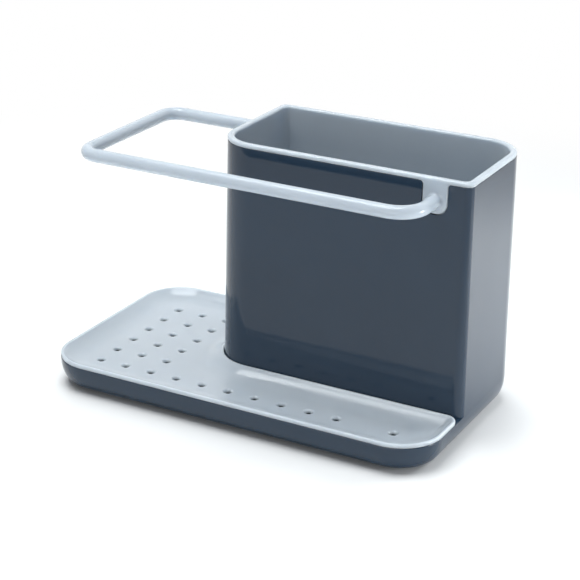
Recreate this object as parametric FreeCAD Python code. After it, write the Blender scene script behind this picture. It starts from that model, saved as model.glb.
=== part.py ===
import FreeCAD, Part
import math
import os

# Kitchen sink caddy: a dark moulded body with a base dish and a tower, a pale liner that hangs in the
# tower and carries the cloth rail, a pale draining tray round the tower, and four soft feet.
# All lengths are in millimetres. The origin is on the worktop below the middle of the base,
# X runs along the length to the right, Y to the back and Z up.

# Overall sizes
overall_length = 208.0
overall_width = 116.0
overall_height = 130.0

# Body: base dish and tower in one moulding
body_wall = 1.8
body_floor = 2.2
base_height = 13.0
base_corner_radius = 22.0
base_edge_radius = 7.0
left_arm_width = 71.4
front_arm_width = 42.2
tower_front_left_radius = 21.0
tower_edge_radius = 5.0
tower_draft = 1.3

# Feet
foot_diameter = 12.0
foot_height = 2.5
foot_stand = 1.2
foot_chamfer = 0.5
foot_inset = 21.0
foot_clearance = 0.15

# Liner: cup, rim, tabs and cloth rail in one moulding
liner_wall = 1.4
liner_floor = 1.8
liner_clearance = 0.3
liner_draft = 0.5
liner_corner_radius = 4.0
liner_edge_radius = 3.0
liner_rim_height = 2.0
liner_rim_round = 0.8
sump_height = 5.0
drain_width = 3.0
drain_length = 18.0
drain_pitch_x = 13.0
drain_pitch_y = 27.0
drain_margin = 12.0
tab_width = 12.4
tab_height = 17.0
tab_bottom_radius = 5.5
tab_flare_radius = 1.6
tab_clearance = 0.3
rail_diameter = 6.5
rail_drop = 10.8
rail_root_radius = 1.4
rail_first_bend = 13.0
rail_far_bend = 9.0
rail_left_inset = 12.3
rail_front_inset = 20.2
rail_tab_inset = 19.1
rail_back_inset = 13.8

# Draining tray: shallow L-shaped dish
tray_set_in = 0.2
tray_clearance = 0.4
tray_ledge = 1.8
tray_rim_height = 2.0
tray_rim_width = 2.0
tray_rim_round = 0.7
tray_end_radius = 6.5
tray_sheet = 1.6
dish_depth = 4.6
dish_cove_radius = 8.0
hole_diameter = 4.2
hole_mouth_diameter = 6.8
hole_mouth_depth = 1.1
hole_pitch = 14.8
hole_left_margin = 21.2
hole_front_margin = 19.9
hole_tower_margin = 12.0
hole_blank_from_right = 1

# Working values for cuts and for picking edges
overrun = 5.0
same_place = 0.0001

# Levels and faces that the pieces share
underside_level = foot_stand
floor_level = underside_level + body_floor
seam_level = underside_level + base_height
tower_top = overall_height - liner_rim_height
rail_level = overall_height - rail_drop
right_face = overall_length / 2
left_face = -right_face
back_face = overall_width / 2
front_face = -back_face
tower_left = left_face + left_arm_width
tower_front = front_face + front_arm_width
well_inset = tower_draft + body_wall
cup_inset = well_inset + liner_clearance


def point(x, y, z):
    return FreeCAD.Vector(x, y, z)


# Closed outline through the corners, each rounded by its own radius
def rounded_outline(corners, radii, level):
    count = len(corners)
    starts = []
    middles = []
    ends = []
    for place in range(count):
        corner = point(*corners[place], level)
        behind = (point(*corners[place - 1], level) - corner).normalize()
        ahead = (point(*corners[(place + 1) % count], level) - corner).normalize()
        half_angle = behind.getAngle(ahead) / 2
        reach = radii[place] / math.tan(half_angle)
        bisector = (behind + ahead).normalize()
        centre = corner + bisector * (radii[place] / math.sin(half_angle))
        starts.append(corner + behind * reach)
        middles.append(centre - bisector * radii[place])
        ends.append(corner + ahead * reach)
    edges = []
    for place in range(count):
        following = starts[(place + 1) % count]
        if radii[place] > 0:
            edges.append(Part.Arc(starts[place], middles[place], ends[place]).toShape())
        if ends[place].distanceToPoint(following) > same_place:
            edges.append(Part.LineSegment(ends[place], following).toShape())
    return Part.Wire(edges)


def prism(outline, height):
    return Part.Face(outline).extrude(point(0, 0, height))


# Edges that lie flat at one level
def level_edges(solid, level):
    found = []
    for edge in solid.Edges:
        ends = [vertex.Point.z for vertex in edge.Vertexes]
        if edge.Degenerated or max(abs(height - level) for height in ends) > same_place:
            continue
        middle = edge.valueAt((edge.FirstParameter + edge.LastParameter) / 2)
        if abs(middle.z - level) < same_place:
            found.append(edge)
    return found


def round_level(solid, level, radius):
    return solid.makeFillet(radius, level_edges(solid, level))


# Outline of the base, moved in by the inset
def base_outline(inset, level):
    corners = [
        (left_face + inset, front_face + inset),
        (right_face - inset, front_face + inset),
        (right_face - inset, back_face - inset),
        (left_face + inset, back_face - inset),
    ]
    return rounded_outline(corners, [base_corner_radius - inset] * len(corners), level)


# Outline of the tower, moved in by the inset, with its own radius at the two tight corners
def tower_outline(inset, tight_radius, level):
    corners = [
        (tower_left + inset, tower_front + inset),
        (right_face - inset, tower_front + inset),
        (right_face - inset, back_face - inset),
        (tower_left + inset, back_face - inset),
    ]
    radii = [tower_front_left_radius - inset, tight_radius, base_corner_radius - inset, tight_radius]
    return rounded_outline(corners, radii, level)


# Outline of the tower's own wall
def wall_outline(inset, level):
    return tower_outline(inset, tower_edge_radius - inset, level)


# Outline of the liner's cup, whose tight corners are rounder than the tower's
def cup_outline(inset, level):
    return tower_outline(inset, liner_corner_radius + cup_inset - inset, level)


# L-shaped outline between the base's sides and the tower, with a gap to each
def tray_outline(side_gap, tower_gap, end_radius, level):
    corner_radius = base_corner_radius - side_gap
    corners = [
        (left_face + side_gap, front_face + side_gap),
        (right_face - side_gap, front_face + side_gap),
        (right_face - side_gap, tower_front - tower_gap),
        (tower_left - tower_gap, tower_front - tower_gap),
        (tower_left - tower_gap, back_face - side_gap),
        (left_face + side_gap, back_face - side_gap),
    ]
    radii = [
        corner_radius,
        corner_radius,
        end_radius,
        tower_front_left_radius + tower_gap,
        end_radius,
        corner_radius,
    ]
    return rounded_outline(corners, radii, level)


# Upright plate of a tab's shape, flared into the rim, standing on the XZ plane and centred on X
def tab_plate(clearance, thickness):
    half_width = tab_width / 2 + clearance
    flare = tab_flare_radius - clearance
    shoulder = half_width + flare
    top = overall_height - liner_rim_round
    bottom = overall_height - tab_height - clearance
    corners = [
        (-shoulder, tower_top),
        (-half_width, tower_top),
        (-half_width, bottom),
        (half_width, bottom),
        (half_width, tower_top),
        (shoulder, tower_top),
        (shoulder, top),
        (-shoulder, top),
    ]
    bottom_radius = tab_bottom_radius + clearance
    radii = [0, flare, bottom_radius, bottom_radius, flare, 0, 0, 0]
    plate = prism(rounded_outline(corners, radii, 0), thickness)
    plate.rotate(point(0, 0, 0), point(1, 0, 0), 90)
    return plate


# The front tab and the left tab, from the wall's outer face to the given depth
def tabs(clearance, outside, depth):
    front_tab = tab_plate(clearance, outside + depth)
    front_tab.translate(point(right_face - rail_tab_inset, tower_front + tower_draft + depth, 0))
    left_tab = tab_plate(clearance, outside + depth)
    left_tab.rotate(point(0, 0, 0), point(0, 0, 1), -90)
    left_tab.translate(point(tower_left + tower_draft + depth, back_face - rail_back_inset, 0))
    return front_tab, left_tab


def foot_places():
    places = []
    for x in (left_face + foot_inset, right_face - foot_inset):
        for y in (front_face + foot_inset, back_face - foot_inset):
            places.append(point(x, y, 0))
    return places


def make_body():
    base = prism(base_outline(0, underside_level), base_height)
    base = round_level(base, underside_level, base_edge_radius)
    tower = Part.makeLoft([wall_outline(0, seam_level), wall_outline(tower_draft, tower_top)], True, True)
    shell = base.fuse(tower)
    hollow = prism(base_outline(body_wall, floor_level), overall_height)
    hollow = round_level(hollow, floor_level, base_edge_radius - body_wall)
    well = hollow.common(prism(wall_outline(well_inset, floor_level), overall_height))
    reservoir_outline = tray_outline(body_wall, tray_ledge, 0, floor_level)
    reservoir = hollow.common(prism(reservoir_outline, base_height))
    shell = shell.cut([well, reservoir])
    shell = shell.cut(list(tabs(tab_clearance, overrun, body_wall + overrun)))
    recess_depth = foot_height - foot_stand
    recess_radius = foot_diameter / 2 + foot_clearance
    for place in foot_places():
        mouth = place + point(0, 0, underside_level - overrun)
        shell = shell.cut(Part.makeCylinder(recess_radius, recess_depth + overrun, mouth))
    return shell


def make_foot(place):
    foot = Part.makeCylinder(foot_diameter / 2, foot_height, place)
    return foot.makeChamfer(foot_chamfer, level_edges(foot, 0))


# Tapered cup between two insets of the tower's outline, with a rounded bottom edge
def cup(bottom_inset, top_inset, bottom, top, edge_radius):
    wires = [cup_outline(bottom_inset, bottom), cup_outline(top_inset, top)]
    return round_level(Part.makeLoft(wires, True, True), bottom, edge_radius)


def drain_slots(level):
    half_width = drain_width / 2
    half_length = drain_length / 2
    corners = [
        (-half_width, -half_length),
        (half_width, -half_length),
        (half_width, half_length),
        (-half_width, half_length),
    ]
    middle_x = (tower_left + right_face) / 2
    middle_y = (tower_front + back_face) / 2
    columns = int((right_face - tower_left - 2 * drain_margin) / drain_pitch_x)
    rows = int((back_face - tower_front - 2 * drain_margin - drain_length) / drain_pitch_y) + 1
    outline = rounded_outline(corners, [half_width] * len(corners), level - overrun)
    slots = []
    for column in range(columns):
        for row in range(rows):
            slot = prism(outline, overrun + liner_floor + overrun)
            across = (column - (columns - 1) / 2) * drain_pitch_x
            along = (row - (rows - 1) / 2) * drain_pitch_y
            slot.translate(point(middle_x + across, middle_y + along, 0))
            slots.append(slot)
    return slots


# Cloth rail: a round rod from the front tab, round the left side, back to the left tab
def make_rail(depth):
    tab_x = right_face - rail_tab_inset
    tab_y = back_face - rail_back_inset
    front_y = front_face + rail_front_inset
    left_x = left_face + rail_left_inset
    corners = [(tab_x, front_y), (left_x, front_y), (left_x, tab_y)]
    bends = [rail_first_bend, rail_far_bend, rail_far_bend]
    start = point(tab_x, tower_front + tower_draft + depth, rail_level)
    end = point(tower_left + tower_draft + depth, tab_y, rail_level)
    stops = [start] + [point(x, y, rail_level) for x, y in corners] + [end]
    edges = []
    here = start
    for place in range(1, len(stops) - 1):
        behind = (stops[place - 1] - stops[place]).normalize()
        ahead = (stops[place + 1] - stops[place]).normalize()
        bend = bends[place - 1]
        centre = stops[place] + (behind + ahead) * bend
        middle = centre - (behind + ahead).normalize() * bend
        arc_start = stops[place] + behind * bend
        arc_end = stops[place] + ahead * bend
        edges.append(Part.LineSegment(here, arc_start).toShape())
        edges.append(Part.Arc(arc_start, middle, arc_end).toShape())
        here = arc_end
    edges.append(Part.LineSegment(here, end).toShape())
    section = Part.Wire(Part.Circle(start, point(0, 1, 0), rail_diameter / 2).toShape())
    return Part.Wire(edges).makePipe(Part.Face(section))


# Circles where the rail's rod leaves the tabs' outer faces
def rail_roots(liner):
    found = []
    for edge in liner.Edges:
        centre = edge.CenterOfMass
        at_front = abs(centre.y - tower_front - tower_draft) < same_place
        at_left = abs(centre.x - tower_left - tower_draft) < same_place
        round_size = abs(edge.Length - math.pi * rail_diameter) < rail_diameter / 2
        if round_size and abs(centre.z - rail_level) < same_place and (at_front or at_left):
            found.append(edge)
    return found


def make_liner():
    inner_inset = cup_inset + liner_wall
    inner_radius = liner_edge_radius - liner_wall
    cup_bottom = floor_level + sump_height
    cup_floor = cup_bottom + liner_floor
    outside = cup(cup_inset + liner_draft, cup_inset, cup_bottom, tower_top, liner_edge_radius)
    inside = cup(inner_inset + liner_draft, inner_inset, cup_floor, tower_top, inner_radius)
    mouth = prism(cup_outline(inner_inset, tower_top), liner_rim_height)
    rim = prism(wall_outline(tower_draft, tower_top), liner_rim_height)
    tab_depth = body_wall + liner_clearance + liner_wall / 2
    liner = outside.fuse([rim, *tabs(0, 0, tab_depth)]).removeSplitter()
    liner = liner.cut([inside.fuse(mouth), *drain_slots(cup_bottom)])
    liner = round_level(liner, overall_height, liner_rim_round)
    liner = liner.fuse(make_rail(body_wall))
    return liner.makeFillet(rail_root_radius, rail_roots(liner))


# Centres of the drain holes: a full field left of the tower and one row along its front
def hole_places():
    first_x = left_face + hole_left_margin
    first_y = front_face + hole_front_margin
    field_columns = int((tower_left - hole_tower_margin - first_x) / hole_pitch) + 1
    field_rows = int((back_face - hole_left_margin - first_y) / hole_pitch) + 1
    front_columns = int((right_face - hole_left_margin - first_x) / hole_pitch) + 1
    blank_column = front_columns - 1 - hole_blank_from_right
    places = []
    for column in range(front_columns):
        rows = field_rows if column < field_columns else 1
        for row in range(rows):
            if column != blank_column:
                places.append((first_x + column * hole_pitch, first_y + row * hole_pitch))
    return places


def make_tray():
    rim_level = seam_level + tray_rim_height
    dish_level = rim_level - dish_depth
    pan_level = dish_level - tray_sheet
    cove_reach = math.sqrt(dish_cove_radius ** 2 - (dish_cove_radius - dish_depth) ** 2)
    dish_gap = tray_rim_width - (dish_cove_radius - cove_reach)
    flange_outline = tray_outline(tray_set_in, tray_clearance, tray_end_radius, seam_level)
    flange = prism(flange_outline, tray_rim_height)
    flange = round_level(flange, rim_level, tray_rim_round)
    pan_gap = dish_gap - tray_sheet
    pan_outline = tray_outline(tray_set_in + pan_gap, tray_clearance + pan_gap, 0, pan_level)
    pan = prism(pan_outline, overall_height)
    pan = round_level(pan, pan_level, dish_cove_radius + tray_sheet)
    skirt_outline = tray_outline(body_wall + tray_clearance, tray_ledge + tray_clearance, 0, pan_level)
    pan = pan.common(prism(skirt_outline, seam_level + tray_rim_height / 2 - pan_level))
    dish_outline = tray_outline(tray_set_in + dish_gap, tray_clearance + dish_gap, 0, dish_level)
    dish = prism(dish_outline, overall_height)
    dish = round_level(dish, dish_level, dish_cove_radius)
    lip_gap = tray_set_in + tray_rim_width
    lip_tower_gap = tray_clearance + tray_rim_width
    lip_outline = tray_outline(lip_gap, lip_tower_gap, tray_end_radius - tray_rim_width, dish_level)
    dish = dish.common(prism(lip_outline, overall_height))
    tray = flange.fuse(pan).cut(dish)
    drills = []
    hole_radius = hole_diameter / 2
    mouth_radius = hole_mouth_diameter / 2
    drill_height = overrun + tray_sheet + dish_depth
    for x, y in hole_places():
        start = point(x, y, pan_level - overrun)
        mouth = point(x, y, dish_level - hole_mouth_depth)
        drills.append(Part.makeCylinder(hole_radius, drill_height, start))
        drills.append(Part.makeCone(hole_radius, mouth_radius, hole_mouth_depth, mouth))
    return tray.cut(drills)


def main():
    os.makedirs("parts", exist_ok=True)
    pieces = {"main_body": make_body(), "liner": make_liner(), "draining_tray": make_tray()}
    sides = ("front_left", "back_left", "front_right", "back_right")
    for side, place in zip(sides, foot_places()):
        pieces["foot_" + side] = make_foot(place)
    for name, shape in pieces.items():
        print(name, len(shape.Solids), "solid", shape.isValid(), round(shape.Volume), "cubic millimetres")
        shape.exportStep("parts/" + name + ".step")


main()
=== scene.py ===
import bmesh
import bpy
import math
from mathutils import Matrix, Vector


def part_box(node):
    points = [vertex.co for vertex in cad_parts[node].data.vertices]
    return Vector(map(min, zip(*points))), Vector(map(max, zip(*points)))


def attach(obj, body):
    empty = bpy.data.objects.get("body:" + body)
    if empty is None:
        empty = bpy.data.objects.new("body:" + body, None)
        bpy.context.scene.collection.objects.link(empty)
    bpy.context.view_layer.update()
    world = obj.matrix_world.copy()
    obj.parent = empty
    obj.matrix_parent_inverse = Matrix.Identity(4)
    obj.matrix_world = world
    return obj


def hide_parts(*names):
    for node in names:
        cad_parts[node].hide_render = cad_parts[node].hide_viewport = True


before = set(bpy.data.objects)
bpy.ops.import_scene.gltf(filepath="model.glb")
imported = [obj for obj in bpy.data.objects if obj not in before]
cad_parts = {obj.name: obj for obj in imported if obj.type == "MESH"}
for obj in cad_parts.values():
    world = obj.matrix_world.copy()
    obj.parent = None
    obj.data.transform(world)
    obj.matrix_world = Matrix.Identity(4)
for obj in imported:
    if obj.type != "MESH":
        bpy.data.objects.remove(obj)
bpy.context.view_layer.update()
mm = 0.001  # pieces are modelled in millimetres and scaled once, when they are finished
up = (0, 0, 1)
quarterTurn = math.pi / 2


# Lowest and highest corner of a frame node, in millimetres
def boxOf(node):
    low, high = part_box(node)
    return low / mm, high / mm


bodyLow, bodyHigh = boxOf("main_body")
linerLow, linerHigh = boxOf("liner")
trayLow, trayHigh = boxOf("draining_tray")
footNodes = sorted(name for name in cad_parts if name.startswith("foot_"))
print("frame loaded:", len(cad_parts), "nodes")

mesh = {
    "cornerSteps": 18,   # straight bits in each rounded corner of an outline
    "edgeSteps": 3,      # in a softened edge
    "roundSteps": 8,     # in the round of a rim or a floor
    "coveSteps": 16,     # in the hollow side of the tray
    "rodSteps": 40,      # round the cloth rail
    "bendSteps": 20,     # along a quarter bend of the rail
    "holeSteps": 28,     # round a drain hole
    "footSteps": 48,     # round a foot
    "sharpAngle": 38.0,  # degrees, edges above this stay crisp
    "weld": 0.004,       # points closer than this become one
    "sliver": 0.0004,    # edges shorter than this are dissolved
    "point": 0.001,      # radius of a corner that has closed up to a point
}


# Closed loop of edges through square corners, each rounded by its own radius
def outline(bm, corners, radii, level):
    before = set(bm.edges)
    verts = [bm.verts.new((x, y, level)) for x, y in corners]
    for place, vert in enumerate(verts):
        bm.edges.new((verts[place - 1], vert))
    for vert, radius in zip(verts, radii):
        if radius > 0:
            bmesh.ops.bevel(bm, geom=[vert], offset=radius, offset_type="OFFSET", affect="VERTICES",
                            segments=mesh["cornerSteps"], profile=0.5, material=-1)
    return [edge for edge in bm.edges if edge not in before]


# Round loop of edges about a centre, square to an axis
def ring(bm, centre, axis, radius, steps):
    turn = Vector(axis).to_track_quat("Z", "Y").to_matrix().to_4x4()
    made = bmesh.ops.create_circle(bm, cap_ends=False, segments=steps, radius=radius,
                                   matrix=Matrix.Translation(centre) @ turn)
    return list({edge for vert in made["verts"] for edge in vert.link_edges})


# One flat face inside a loop
def cap(bm, loop):
    bmesh.ops.edgeloop_fill(bm, edges=loop)


# Flat faces between an outer loop and the loops of its holes
def fillRound(bm, loops, normal=up):
    edges = [edge for loop in loops for edge in loop]
    bmesh.ops.triangle_fill(bm, use_beauty=True, use_dissolve=False, edges=edges, normal=normal)


# Skin of faces through a row of loops; two loops on one level are filled, as bridging can cross over there
def loft(bm, loops):
    for one, other in zip(loops, loops[1:]):
        levels = [vert.co.z for edge in one + other for vert in edge.verts]
        if max(levels) - min(levels) < mesh["weld"]:
            fillRound(bm, [one, other])
        else:
            bmesh.ops.bridge_loops(bm, edges=one + other)
    return loops[-1]


# Points (inset, level) along a round, from one angle to another, in degrees
def rounding(inset, level, radius, start, end, steps):
    points = []
    for step in range(steps + 1):
        angle = math.radians(start + (end - start) * step / steps)
        points.append((inset + radius * math.cos(angle), level + radius * math.sin(angle)))
    return points


# Merges doubled points and turns all faces outwards
def weldAndTurn(bm):
    bmesh.ops.remove_doubles(bm, verts=bm.verts[:], dist=mesh["weld"])
    bmesh.ops.dissolve_degenerate(bm, dist=mesh["sliver"], edges=bm.edges[:])
    bmesh.ops.recalc_face_normals(bm, faces=bm.faces[:])


def looseObject(name, bm):
    data = bpy.data.meshes.new(name)
    bm.to_mesh(data)
    bm.free()
    thing = bpy.data.objects.new(name, data)
    bpy.context.scene.collection.objects.link(thing)
    return thing


# One closed mesh from two: UNION or DIFFERENCE
def combine(bm, other, operation):
    weldAndTurn(bm)
    weldAndTurn(other)
    first = looseObject("first", bm)
    second = looseObject("second", other)
    modifier = first.modifiers.new("combine", "BOOLEAN")
    modifier.operation = operation
    modifier.solver = "EXACT"
    modifier.object = second
    evaluated = first.evaluated_get(bpy.context.evaluated_depsgraph_get())
    data = bpy.data.meshes.new_from_object(evaluated)
    result = bmesh.new()
    result.from_mesh(data)
    bpy.data.meshes.remove(data)
    for thing in (first, second):
        old = thing.data
        bpy.data.objects.remove(thing)
        bpy.data.meshes.remove(old)
    return result


# Turns a bmesh into a finished piece that rides on a body and stands for frame nodes
def finishPiece(name, bm, rides, material, nodes):
    weldAndTurn(bm)
    for face in bm.faces:
        face.smooth = True
    for edge in bm.edges:
        if len(edge.link_faces) == 2:
            edge.smooth = edge.calc_face_angle() < math.radians(mesh["sharpAngle"])
    openEdges = sum(not edge.is_manifold for edge in bm.edges)
    bmesh.ops.scale(bm, vec=(mm, mm, mm), verts=bm.verts[:])
    count = len(bm.faces)
    piece = looseObject(name, bm)
    piece.data.materials.append(material)
    shading = piece.modifiers.new("even shading", "WEIGHTED_NORMAL")
    shading.mode = "FACE_AREA"
    shading.keep_sharp = True
    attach(piece, rides)
    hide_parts(*nodes)
    print(name, "made:", count, "faces,", openEdges, "open edges")


# sRGB hex colour as linear values
def linear(hexColour):
    values = [int(hexColour[place:place + 2], 16) / 255 for place in (1, 3, 5)]
    return [v / 12.92 if v <= 0.04045 else ((v + 0.055) / 1.055) ** 2.4 for v in values] + [1.0]


# Noise scale whose patches come out about this many millimetres wide
def patches(size):
    return 1 / (size * mm)


def newMaterial(name):
    material = bpy.data.materials.new(name)
    material.use_nodes = True
    material.node_tree.nodes.clear()
    return material


# Adds a node with its settings, fixed values and links; a socket goes by name or by number
def addNode(tree, kind, settings=None, values=None, links=None):
    node = tree.nodes.new(kind)
    for name, setting in (settings or {}).items():
        setattr(node, name, setting)
    for name, value in (values or {}).items():
        node.inputs[name].default_value = value
    for name, socket in (links or {}).items():
        tree.links.new(socket, node.inputs[name])
    return node


noiseDetail = {"cloud": 3.0, "gloss": 4.0, "wave": 1.0, "grain": 2.0}  # how far each pattern breaks up
colourMix = {"share": 0, "deep": 6, "pale": 7, "result": 2}  # a colour mix has its sockets by number


# One moulded finish: cloudy colour, uneven gloss, and a surface that is slightly wavy and grained
def moulded(name, finish):
    material = newMaterial(name)
    tree = material.node_tree
    place = addNode(tree, "ShaderNodeTexCoord").outputs["Object"]
    noise = {}
    for pattern, detail in noiseDetail.items():
        made = addNode(tree, "ShaderNodeTexNoise",
                       values={"Scale": patches(finish[pattern + "Size"]), "Detail": detail},
                       links={"Vector": place})
        noise[pattern] = made.outputs["Fac"]
    colour = addNode(tree, "ShaderNodeMix", {"data_type": "RGBA"},
                     {colourMix["deep"]: linear(finish["deepColour"]),
                      colourMix["pale"]: linear(finish["paleColour"])},
                     {colourMix["share"]: noise["cloud"]})
    rough = addNode(tree, "ShaderNodeMapRange",
                    values={"To Min": finish["smoothest"], "To Max": finish["roughest"]},
                    links={"Value": noise["gloss"]})
    wavy = addNode(tree, "ShaderNodeBump", values={"Strength": 1.0, "Distance": finish["waveDepth"] * mm},
                   links={"Height": noise["wave"]})
    grained = addNode(tree, "ShaderNodeBump", values={"Strength": 1.0, "Distance": finish["grainDepth"] * mm},
                      links={"Height": noise["grain"], "Normal": wavy.outputs["Normal"]})
    shader = addNode(tree, "ShaderNodeBsdfPrincipled",
                     values={"IOR": finish["ior"], "Subsurface Weight": finish["milky"],
                             "Subsurface Radius": (1, 1, 1), "Subsurface Scale": finish["lightReach"] * mm},
                     links={"Base Color": colour.outputs[colourMix["result"]],
                            "Roughness": rough.outputs["Result"], "Normal": grained.outputs["Normal"]})
    addNode(tree, "ShaderNodeOutputMaterial", links={"Surface": shader.outputs["BSDF"]})
    return material


# ABS from a polished mould: a deep blue-grey that mirrors the table, wavy where the wall has sunk
absFinish = {
    "deepColour": "#1f3143",
    "paleColour": "#25384b",
    "cloudSize": 45.0,       # sizes and depths are in millimetres
    "smoothest": 0.05,
    "roughest": 0.10,
    "glossSize": 12.0,
    "waveSize": 28.0,
    "waveDepth": 0.14,
    "grainSize": 0.9,        # drawn coarser than the mould's polish so that it shows
    "grainDepth": 0.0006,
    "ior": 1.47,
    "milky": 0.0,            # no light goes into it
    "lightReach": 0.1,
}

# Polypropylene from a satin mould: pale cool grey with a softer, slightly waxy gloss
polypropyleneFinish = {
    "deepColour": "#bdc7d1",
    "paleColour": "#c7d0d9",
    "cloudSize": 30.0,
    "smoothest": 0.10,
    "roughest": 0.16,
    "glossSize": 8.0,
    "waveSize": 18.0,
    "waveDepth": 0.12,
    "grainSize": 0.7,        # satin mould texture, drawn coarser than life so that it shows
    "grainDepth": 0.0012,
    "ior": 1.49,
    "milky": 0.9,            # light goes a little way into the plastic
    "lightReach": 4.0,
}

# Soft rubber: matt and nearly black, dusty in patches
rubberFinish = {
    "deepColour": "#1a1b1d",
    "paleColour": "#2b2c2e",
    "cloudSize": 3.0,
    "smoothest": 0.62,
    "roughest": 0.82,
    "glossSize": 1.5,
    "waveSize": 4.0,
    "waveDepth": 0.02,
    "grainSize": 0.3,
    "grainDepth": 0.01,
    "ior": 1.52,
    "milky": 0.0,
    "lightReach": 0.1,
}

glossyAbs = moulded("glossy moulded ABS, dark blue-grey", absFinish)
satinPolypropylene = moulded("satin moulded polypropylene, pale grey", polypropyleneFinish)
mattRubber = moulded("matt moulded rubber", rubberFinish)
print("materials made:", glossyAbs.name + ";", satinPolypropylene.name + ";", mattRubber.name)

body = {
    "wall": 1.8,
    "floor": 2.2,
    "baseHeight": 13.0,
    "cornerRadius": 22.0,     # the four outer corners
    "bottomRadius": 7.0,      # how far the rounded lower edge turns in
    "sideRound": 12.0,        # how far up the side it begins
    "leftArm": 71.4,          # from the left side to the tower
    "frontArm": 42.2,         # from the front to the tower
    "roundCorner": 21.0,      # the tower's front-left corner
    "tightCorner": 5.0,       # its front-right and back-left corners
    "draft": 1.3,             # how far the tower leans in on the way up
    "ledge": 1.8,             # step round the tower's foot that carries the tray
    "pitCorner": 2.0,         # ends of the reservoir below the tray
    "edgeRound": 0.35,        # softened edges
    "footClearance": 0.15,
    "notchDepth": 7.2,        # cut for a tab, from just outside the tower's wall
}

towerLeft = bodyLow.x + body["leftArm"]
towerFront = bodyLow.y + body["frontArm"]
towerTop = bodyHigh.z
seamLevel = bodyLow.z + body["baseHeight"]
floorLevel = bodyLow.z + body["floor"]
wellInset = body["draft"] + body["wall"]


# Radius of a corner that closes up to a point as its outline moves in
def clampRadius(radius):
    return max(radius, mesh["point"])


# Outline of the base, moved in, with plain points where the tray ends and the tower begins
def baseOutline(bm, inset, level):
    left, right = bodyLow.x + inset, bodyHigh.x - inset
    front, back = bodyLow.y + inset, bodyHigh.y - inset
    corner, tight, ledge = body["cornerRadius"] - inset, body["tightCorner"], body["ledge"]
    corners = [(left, front), (right, front), (right, towerFront - ledge), (right, towerFront + tight),
               (right, back), (towerLeft + tight, back), (towerLeft - ledge, back), (left, back)]
    return outline(bm, corners, [corner, corner, 0, 0, corner, 0, 0, corner], level)


# Outline of the tower, moved in, with its own radius at the two tight corners
def towerOutline(bm, inset, tight, level):
    left, right = towerLeft + inset, bodyHigh.x - inset
    front, back = towerFront + inset, bodyHigh.y - inset
    corners = [(left, front), (right, front), (right, back), (left, back)]
    tight = clampRadius(tight)
    radii = [body["roundCorner"] - inset, tight, body["cornerRadius"] - inset, tight]
    return outline(bm, corners, radii, level)


# L-shaped outline between the base's sides and the tower, with a gap to each
def armOutline(bm, sideGap, towerGap, endRadius, level):
    left, right = bodyLow.x + sideGap, bodyHigh.x - sideGap
    front, back = bodyLow.y + sideGap, bodyHigh.y - sideGap
    inner, nearTower = towerLeft - towerGap, towerFront - towerGap
    corner, end = body["cornerRadius"] - sideGap, clampRadius(endRadius)
    corners = [(left, front), (right, front), (right, nearTower),
               (inner, nearTower), (inner, back), (left, back)]
    return outline(bm, corners, [corner, corner, end, body["roundCorner"] + towerGap, end, corner], level)


liner = {
    "wall": 1.4,
    "floor": 1.8,
    "clearance": 0.3,         # to the tower's inside
    "draft": 0.5,
    "tightCorner": 4.0,
    "bottomRadius": 3.0,
    "rimOuterRound": 1.3,
    "rimInnerRound": 1.2,
    "rimLowerRound": 0.25,
    "slotWidth": 3.0,
    "slotLength": 18.0,
    "slotPitchX": 13.0,
    "slotPitchY": 27.0,
    "slotMargin": 12.0,
    "tabWidth": 12.4,
    "tabHeight": 17.0,        # from the rim's top
    "tabBottom": 5.5,         # radius of its lower corners
    "tabFlare": 1.6,          # radius where it runs into the rim
    "tabRound": 0.45,
    "tabClearance": 0.3,
    "railDiameter": 6.5,
    "railDrop": 10.8,         # from the rim's top to the rod's middle
    "railRoot": 1.4,          # trumpet where the rod leaves a tab
    "firstBend": 13.0,
    "farBend": 9.0,
    "frontTabInset": 19.1,    # from the right side to the front tab's middle
    "leftTabInset": 13.8,     # from the back to the left tab's middle
}

frontFaceY = towerFront + body["draft"]
leftFaceX = towerLeft + body["draft"]
frontTabX = bodyHigh.x - liner["frontTabInset"]
leftTabY = bodyHigh.y - liner["leftTabInset"]
upright = Matrix.Translation((frontTabX, frontFaceY, 0))
sideways = Matrix.Translation((leftFaceX, leftTabY, 0)) @ Matrix.Rotation(-quarterTurn, 4, "Z")


# Upright plate of a tab's shape, front face on the XZ plane, edges of the front face rounded
def tabPlate(bm, clearance, top, depth, edgeRound):
    drop = linerHigh.z - liner["tabHeight"] - clearance
    flare = liner["tabFlare"] - clearance
    loops = []
    stations = [(0.0, 0.0)]
    if edgeRound > 0:
        stations = [(edgeRound - x, z - edgeRound)
                    for x, z in rounding(0, 0, edgeRound, 90, 0, mesh["edgeSteps"])]
    for inset, level in stations + [(0.0, -depth)]:
        half = liner["tabWidth"] / 2 + clearance - inset
        wide = half + flare + 2 * inset + mesh["point"]
        bottom = drop + inset
        corners = [(-wide, towerTop), (-half, towerTop), (-half, bottom), (half, bottom),
                   (half, towerTop), (wide, towerTop), (wide, top), (-wide, top)]
        low = liner["tabBottom"] + clearance - inset
        loops.append(outline(bm, corners, [0, flare + inset, low, low, flare + inset, 0, 0, 0], level))
    loft(bm, loops)
    verts = list({vert for loop in loops for edge in loop for vert in edge.verts})
    bmesh.ops.rotate(bm, cent=(0, 0, 0), matrix=Matrix.Rotation(quarterTurn, 3, "X"), verts=verts)
    return loops[0], loops[-1], verts


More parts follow.
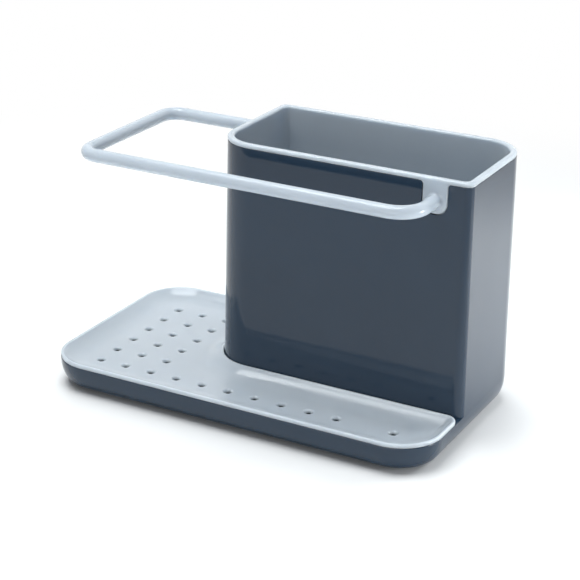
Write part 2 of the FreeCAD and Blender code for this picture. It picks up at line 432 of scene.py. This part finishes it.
def makeBody():
    bm = bmesh.new()
    wall, ledge, bottom = body["wall"], body["ledge"], body["bottomRadius"]

    # the base's side; its lower edge is a round that is drawn out upwards
    stretch = body["sideRound"] / bottom
    lowerEdge = rounding(bottom, bottom, bottom, 270, 180, mesh["roundSteps"])
    stations = [(inset, bodyLow.z + rise * stretch) for inset, rise in lowerEdge] + [(0, seamLevel)]
    baseLoops = [baseOutline(bm, inset, level) for inset, level in stations]
    loft(bm, baseLoops)

    # tower wall, its top edge and the well that takes the liner
    soft, steps = body["edgeRound"], mesh["edgeSteps"]
    stations = [(0, seamLevel)]
    stations += [(body["draft"] - x, z) for x, z in rounding(-soft, towerTop - soft, soft, 0, 90, steps)]
    stations += [(wellInset + x, z) for x, z in rounding(-soft, towerTop - soft, soft, 90, 0, steps)]
    well = bottom - wall
    stations += rounding(wellInset + well, floorLevel + well, well, 180, 270, mesh["roundSteps"])
    towerLoops = [towerOutline(bm, inset, body["tightCorner"] - inset, level) for inset, level in stations]
    cap(bm, loft(bm, towerLoops))

    # reservoir under the tray
    stations = [(0, seamLevel)] + rounding(well, floorLevel + well, well, 180, 270, mesh["roundSteps"])
    pitLoops = [armOutline(bm, wall + x, ledge + x, body["pitCorner"], z) for x, z in stations]
    cap(bm, loft(bm, pitLoops))

    # underside with a recess for each foot
    recesses = []
    for name in footNodes:
        low, high = boxOf(name)
        middle = (low + high) / 2
        radius = (high.y - low.y) / 2 + body["footClearance"]
        loops = [ring(bm, (middle.x, middle.y, z), up, radius, mesh["footSteps"])
                 for z in (bodyLow.z, high.z)]
        cap(bm, loft(bm, loops))
        recesses.append(loops[0])
    fillRound(bm, [baseLoops[0]] + recesses)

    # ledge between the base's sides, the tower and the reservoir
    bmesh.ops.remove_doubles(bm, verts=bm.verts[:], dist=mesh["weld"])
    fillRound(bm, [[edge for edge in bm.edges if edge.is_boundary]])

    # soften the ledge's outer edge along the tray
    pit = {edge for loop in pitLoops for edge in loop if edge.is_valid}
    outer = []
    for edge in bm.edges:
        middle = (edge.verts[0].co + edge.verts[1].co) / 2
        atSeam = all(abs(vert.co.z - seamLevel) < mesh["weld"] for vert in edge.verts)
        byTower = middle.x > towerLeft - ledge and middle.y > towerFront - ledge
        crisp = edge.calc_face_angle(0) > math.radians(mesh["sharpAngle"])
        if atSeam and crisp and not byTower and edge not in pit:
            outer.append(edge)
    bmesh.ops.bevel(bm, geom=outer, offset=soft, offset_type="OFFSET", affect="EDGES",
                    segments=steps, profile=0.5, material=-1)

    # notches for the liner's tabs
    cutter = bmesh.new()
    for place in (upright, sideways):
        front, back, verts = tabPlate(cutter, liner["tabClearance"], linerHigh.z, body["notchDepth"], 0)
        cap(cutter, front)
        cap(cutter, back)
        bmesh.ops.translate(cutter, vec=(0, -wall, 0), verts=verts)
        bmesh.ops.transform(cutter, matrix=place, verts=verts)
    return combine(bm, cutter, "DIFFERENCE")


finishPiece("mainBody", makeBody(), "base", glossyAbs, ["main_body"])


# The cup's tight corners grow from the tower's wall at the rim's outside to the cup's own inside
def linerOutline(bm, inset, level):
    outerInset = body["draft"]
    innerInset = wellInset + liner["clearance"] + liner["wall"]
    outerTight = body["tightCorner"] - outerInset
    innerTight = liner["tightCorner"] - liner["wall"]
    share = (inset - outerInset) / (innerInset - outerInset)
    tight = outerTight + share * (innerTight - outerTight)
    return towerOutline(bm, inset, tight, level)


# Walls of the slots in the cup's floor, with their upper and lower loops for the faces round them
def drainSlots(bm, low, high):
    middle = Vector(((towerLeft + bodyHigh.x) / 2, (towerFront + bodyHigh.y) / 2))
    clear = 2 * liner["slotMargin"]
    columns = int((bodyHigh.x - towerLeft - clear) / liner["slotPitchX"])
    rows = int((bodyHigh.y - towerFront - clear - liner["slotLength"]) / liner["slotPitchY"]) + 1
    wide, long = liner["slotWidth"] / 2, liner["slotLength"] / 2
    tops, bottoms = [], []
    for column in range(columns):
        for row in range(rows):
            x = middle.x + (column - (columns - 1) / 2) * liner["slotPitchX"]
            y = middle.y + (row - (rows - 1) / 2) * liner["slotPitchY"]
            corners = [(x - wide, y - long), (x + wide, y - long), (x + wide, y + long), (x - wide, y + long)]
            radii = [wide - mesh["point"]] * len(corners)
            loops = [outline(bm, corners, radii, level) for level in (high, low)]
            loft(bm, loops)
            tops.append(loops[0])
            bottoms.append(loops[1])
    return tops, bottoms


# Quarter turn of a rod to the right, about an upright axis
def bend(bm, loop, centre):
    verts = list({vert for edge in loop for vert in edge.verts})
    made = bmesh.ops.spin(bm, geom=verts + loop, cent=centre, axis=up, dvec=(0, 0, 0),
                          angle=-quarterTurn, steps=mesh["bendSteps"], use_merge=False)
    return [item for item in made["geom_last"] if isinstance(item, bmesh.types.BMEdge)]


# Tabs and cloth rail: plates in the notches, a rod round the left side between them
def makeRail():
    bm = bmesh.new()
    depth = body["wall"] + liner["clearance"] + liner["wall"] / 2
    top = linerHigh.z - liner["rimOuterRound"]
    fronts = []
    for place in (upright, sideways):
        front, back, verts = tabPlate(bm, 0, top, depth, liner["tabRound"])
        cap(bm, back)
        bmesh.ops.transform(bm, matrix=place, verts=verts)
        fronts.append(front)

    radius, root, steps = liner["railDiameter"] / 2, liner["railRoot"], mesh["rodSteps"]
    level = linerHigh.z - liner["railDrop"]
    frontRun, leftRun = linerLow.y + radius, linerLow.x + radius
    first, far = liner["firstBend"], liner["farBend"]
    flare = [(radius + x, z) for x, z in rounding(root, root, root, 270, 180, mesh["roundSteps"])]
    forwards, leftwards, backwards, rightwards = (0, -1, 0), (-1, 0, 0), (0, 1, 0), (1, 0, 0)

    # where each straight run ends, the way it heads and the centre of the bend that follows it
    runs = [((frontTabX, frontRun + first, level), forwards, (frontTabX - first, frontRun + first, level)),
            ((leftRun + far, frontRun, level), leftwards, (leftRun + far, frontRun + far, level)),
            ((leftRun, leftTabY - far, level), backwards, (leftRun + far, leftTabY - far, level))]
    loops = [ring(bm, (frontTabX, frontFaceY - z, level), forwards, size, steps) for size, z in flare]
    firstRoot = loops[0]
    for end, heading, centre in runs:
        loops.append(ring(bm, end, heading, radius, steps))
        loops = [bend(bm, loft(bm, loops), centre)]
    for size, z in reversed(flare):
        loops.append(ring(bm, (leftFaceX - z, leftTabY, level), rightwards, size, steps))
    lastRoot = loft(bm, loops)
    fillRound(bm, [fronts[0], firstRoot], forwards)
    fillRound(bm, [fronts[1], lastRoot], leftwards)
    return bm


def makeLiner():
    bm = bmesh.new()
    cupInset = wellInset + liner["clearance"]
    innerInset = cupInset + liner["wall"]
    floorTop = linerLow.z + liner["floor"]
    lower, inner = liner["bottomRadius"], liner["bottomRadius"] - liner["wall"]
    outerFoot, innerFoot = cupInset + liner["draft"], innerInset + liner["draft"]
    under, outside, inside = liner["rimLowerRound"], liner["rimOuterRound"], liner["rimInnerRound"]
    rimFace, steps = body["draft"], mesh["roundSteps"]

    # from the cup's underside up its outside, over the rim and down its inside
    stations = rounding(outerFoot + lower, linerLow.z + lower, lower, 270, 180, steps)
    stations += [(cupInset, towerTop)]
    stations += rounding(rimFace + under, towerTop + under, under, 270, 180, mesh["edgeSteps"])
    stations += rounding(rimFace + outside, linerHigh.z - outside, outside, 180, 90, steps)
    stations += rounding(innerInset - inside, linerHigh.z - inside, inside, 90, 0, steps)
    stations += rounding(innerFoot + inner, floorTop + inner, inner, 180, 270, steps)
    loops = [linerOutline(bm, inset, level) for inset, level in stations]
    loft(bm, loops)
    tops, bottoms = drainSlots(bm, linerLow.z, floorTop)
    fillRound(bm, [loops[-1]] + tops)
    fillRound(bm, [loops[0]] + bottoms)
    return combine(bm, makeRail(), "UNION")


finishPiece("linerCup", makeLiner(), "liner", satinPolypropylene, ["liner"])

tray = {
    "outerRound": 0.6,
    "innerRound": 0.6,
    "lowerRound": 0.3,
    "endRadius": 6.5,         # tips beside the tower
    "towerGap": 0.4,
    "dishDepth": 4.6,
    "crest": 1.0,             # from the rim's outside to where it turns down
    "coveRadius": 19.0,       # hollow side of the dish
    "holeDiameter": 3.0,
    "holeLip": 1.6,           # rounded mouth of a hole, as deep as the sheet
    "holePitch": 14.8,
    "holeLeftMargin": 21.2,
    "holeFrontMargin": 19.9,
    "holeTowerMargin": 12.0,
    "blankFromRight": 1,      # one place in the front row has no hole
}


# Grid of holes left of the tower and one row along its front
def holePlaces():
    pitch = tray["holePitch"]
    firstX = bodyLow.x + tray["holeLeftMargin"]
    firstY = bodyLow.y + tray["holeFrontMargin"]
    fieldColumns = int((towerLeft - tray["holeTowerMargin"] - firstX) / pitch) + 1
    fieldRows = int((bodyHigh.y - tray["holeLeftMargin"] - firstY) / pitch) + 1
    frontColumns = int((bodyHigh.x - tray["holeLeftMargin"] - firstX) / pitch) + 1
    blank = frontColumns - 1 - tray["blankFromRight"]
    places = []
    for column in range(frontColumns):
        for row in range(fieldRows if column < fieldColumns else 1):
            if column != blank:
                places.append((firstX + column * pitch, firstY + row * pitch))
    return places


def makeTray():
    bm = bmesh.new()
    setIn = trayLow.x - bodyLow.x
    rim, floorTop = trayHigh.z, trayHigh.z - tray["dishDepth"]
    outside, inside, under = tray["outerRound"], tray["innerRound"], tray["lowerRound"]
    crest, cove = tray["crest"], tray["coveRadius"]
    sheet = floorTop - trayLow.z
    steps = mesh["roundSteps"]

    # the rim's round and the hollow side run into each other
    reach = cove + inside
    slope = math.degrees(math.acos(1 - tray["dishDepth"] / reach))
    floorInset = crest + reach * math.sin(math.radians(slope))
    top = rounding(under, seamLevel + under, under, 270, 180, mesh["edgeSteps"])
    top += rounding(outside, rim - outside, outside, 180, 90, steps)
    top += rounding(crest, rim - inside, inside, 90, 90 - slope, steps)
    top += rounding(floorInset, floorTop + cove, cove, 270 - slope, 270, mesh["coveSteps"])[1:]

    # the underside follows the dish, a sheet's thickness below, up to the skirt inside the ledge
    skirt = body["wall"] + tray["towerGap"] - setIn
    lowSlope = math.degrees(math.asin((floorInset - skirt) / (cove + sheet)))
    below = rounding(floorInset, floorTop + cove, cove + sheet, 270, 270 - lowSlope, mesh["coveSteps"])
    stations = below + [(skirt, seamLevel)] + top
    loops = [armOutline(bm, setIn + x, tray["towerGap"] + x, tray["endRadius"] - x, z) for x, z in stations]
    loft(bm, loops)

    # drain holes
    radius, lip = tray["holeDiameter"] / 2, tray["holeLip"]
    bore = rounding(radius + lip, floorTop - lip, lip, 90, 180, steps) + [(radius, trayLow.z)]
    upper, lower = [loops[-1]], [loops[0]]
    for x, y in holePlaces():
        holeLoops = [ring(bm, (x, y, level), up, size, mesh["holeSteps"]) for size, level in bore]
        loft(bm, holeLoops)
        upper.append(holeLoops[0])
        lower.append(holeLoops[-1])
    fillRound(bm, upper)
    fillRound(bm, lower)
    return bm


finishPiece("drainingTray", makeTray(), "tray", satinPolypropylene, ["draining_tray"])

foot = {"edgeRound": 0.7, "topRound": 0.2}


def makeFoot(node):
    bm = bmesh.new()
    low, high = boxOf(node)
    middle = (low + high) / 2
    radius = (high.y - low.y) / 2
    edge, upper = foot["edgeRound"], foot["topRound"]
    stations = rounding(radius - edge, low.z + edge, edge, 270, 360, mesh["roundSteps"])
    stations += rounding(radius - upper, high.z - upper, upper, 0, 90, mesh["edgeSteps"])
    loops = [ring(bm, (middle.x, middle.y, level), up, size, mesh["footSteps"]) for size, level in stations]
    loft(bm, loops)
    cap(bm, loops[0])
    cap(bm, loops[-1])
    return bm


for node in footNodes:
    side = "".join(word.capitalize() for word in node.split("_")[1:])
    finishPiece("foot" + side, makeFoot(node), "base", mattRubber, [node])

camera = {
    "eye": (369.4, -686.8, 373.2),
    "target": (4.27, -0.02, 54.01),
    "roll": 0.948,            # degrees
    "focalLength": 106.07,    # on a frame of the width below
    "frameWidth": 36.0,
}


# Stands at one point and faces another, both in millimetres
def facing(place, aim):
    turn = (Vector(aim) - Vector(place)).to_track_quat("-Z", "Y").to_matrix().to_4x4()
    return Matrix.Translation(Vector(place) * mm) @ turn


def placeCamera():
    data = bpy.data.cameras.new("camera")
    data.sensor_width = camera["frameWidth"]
    data.lens = camera["focalLength"]
    thing = bpy.data.objects.new("camera", data)
    roll = Matrix.Rotation(math.radians(camera["roll"]), 4, "Z")
    thing.matrix_world = facing(camera["eye"], camera["target"]) @ roll
    bpy.context.scene.collection.objects.link(thing)
    bpy.context.scene.camera = thing


placeCamera()
print("camera placed")

studio = {
    "lampColour": (0.95, 0.985, 1.0),
    "ambient": 0.15,
    "floorSize": 6000.0,
    "floorColour": "#fbfbfb",
    "whiteFrom": 310.0,       # the table fades to plain white between these distances
    "whiteTo": 520.0,
    "white": (1, 1, 1, 1),
    "plainStrength": 1.0,     # at which a background is white
}

keySoftbox = {
    "place": (-500.0, 600.0, 1000.0),
    "aim": (0.0, 0.0, 40.0),
    "size": 700.0,
    "power": 3.8,
    "spread": 180.0,          # degrees
    "mirrored": False,        # kept out of the reflections
}
topSoftbox = {
    "place": (-180.0, -90.0, 1250.0),
    "aim": (0.0, -30.0, 0.0),
    "size": 850.0,
    "power": 14.4,
    "spread": 180.0,
    "mirrored": True,
}
frontSoftbox = {
    "place": (150.0, -900.0, 150.0),
    "aim": (0.0, 0.0, 80.0),
    "size": 400.0,
    "power": 1.85,
    "spread": 180.0,
    "mirrored": True,
}
sideSoftbox = {
    "place": (500.0, 70.0, 72.0),  # low, so that none of it falls into the cup
    "aim": (104.0, 20.0, 50.0),
    "size": 125.0,
    "power": 0.95,
    "spread": 180.0,
    "mirrored": True,
}
tableSoftbox = {
    "place": (400.0, 370.0, 230.0),
    "aim": (260.0, 190.0, 0.0),
    "size": 260.0,
    "power": 0.44,
    "spread": 68.0,           # narrow enough to miss the cup
    "mirrored": True,
}


# One where the ray comes from the camera, a reflection or through glass, else nought
def plainlySeen(tree):
    path = addNode(tree, "ShaderNodeLightPath")
    shown = addNode(tree, "ShaderNodeMath", {"operation": "MAXIMUM"},
                    links={0: path.outputs["Is Camera Ray"], 1: path.outputs["Is Glossy Ray"]})
    shown = addNode(tree, "ShaderNodeMath", {"operation": "MAXIMUM"},
                    links={0: shown.outputs["Value"], 1: path.outputs["Is Transmission Ray"]})
    return shown.outputs["Value"]


# Matt white table that keeps the shadow near the caddy and is plain white further out
def whiteTable():
    material = newMaterial("matt white laminate")
    tree = material.node_tree
    matt = addNode(tree, "ShaderNodeBsdfDiffuse", values={"Color": linear(studio["floorColour"])})
    plain = addNode(tree, "ShaderNodeEmission", values={"Strength": studio["plainStrength"]})
    place = addNode(tree, "ShaderNodeTexCoord").outputs["Object"]
    distance = addNode(tree, "ShaderNodeVectorMath", {"operation": "LENGTH"}, links={0: place})
    far = addNode(tree, "ShaderNodeMapRange", {"interpolation_type": "SMOOTHSTEP"},
                  {"From Min": studio["whiteFrom"] * mm, "From Max": studio["whiteTo"] * mm},
                  {"Value": distance.outputs["Value"]})
    share = addNode(tree, "ShaderNodeMath", {"operation": "MULTIPLY"},
                    links={0: plainlySeen(tree), 1: far.outputs["Result"]})
    both = addNode(tree, "ShaderNodeMixShader",
                   links={0: share.outputs["Value"], 1: matt.outputs["BSDF"], 2: plain.outputs["Emission"]})
    addNode(tree, "ShaderNodeOutputMaterial", links={"Surface": both.outputs["Shader"]})
    return material


def hangLamp(name, lamp):
    data = bpy.data.lights.new(name, "AREA")
    data.size = lamp["size"] * mm
    data.energy = lamp["power"]
    data.spread = math.radians(lamp["spread"])
    data.color = studio["lampColour"]
    thing = bpy.data.objects.new(name, data)
    thing.matrix_world = facing(lamp["place"], lamp["aim"])
    thing.visible_camera = False
    thing.visible_glossy = lamp["mirrored"]
    bpy.context.scene.collection.objects.link(thing)


def makeStudio():
    floorMesh = bmesh.new()
    bmesh.ops.create_grid(floorMesh, x_segments=1, y_segments=1, size=studio["floorSize"] / 2 * mm)
    floor = looseObject("studioTable", floorMesh)
    floor.data.materials.append(whiteTable())

    world = bpy.data.worlds.new("studio")
    bpy.context.scene.world = world
    world.use_nodes = True
    tree = world.node_tree
    tree.nodes.clear()
    fill, plain = [addNode(tree, "ShaderNodeBackground",
                           values={"Color": studio["white"], "Strength": strength}).outputs["Background"]
                   for strength in (studio["ambient"], studio["plainStrength"])]
    both = addNode(tree, "ShaderNodeMixShader", links={0: plainlySeen(tree), 1: fill, 2: plain})
    addNode(tree, "ShaderNodeOutputWorld", links={"Surface": both.outputs["Shader"]})

    hangLamp("key softbox", keySoftbox)
    hangLamp("top softbox", topSoftbox)
    hangLamp("front softbox", frontSoftbox)
    hangLamp("side softbox", sideSoftbox)
    hangLamp("table softbox", tableSoftbox)


makeStudio()
bpy.context.scene.view_settings.view_transform = "Standard"
print("studio lit")
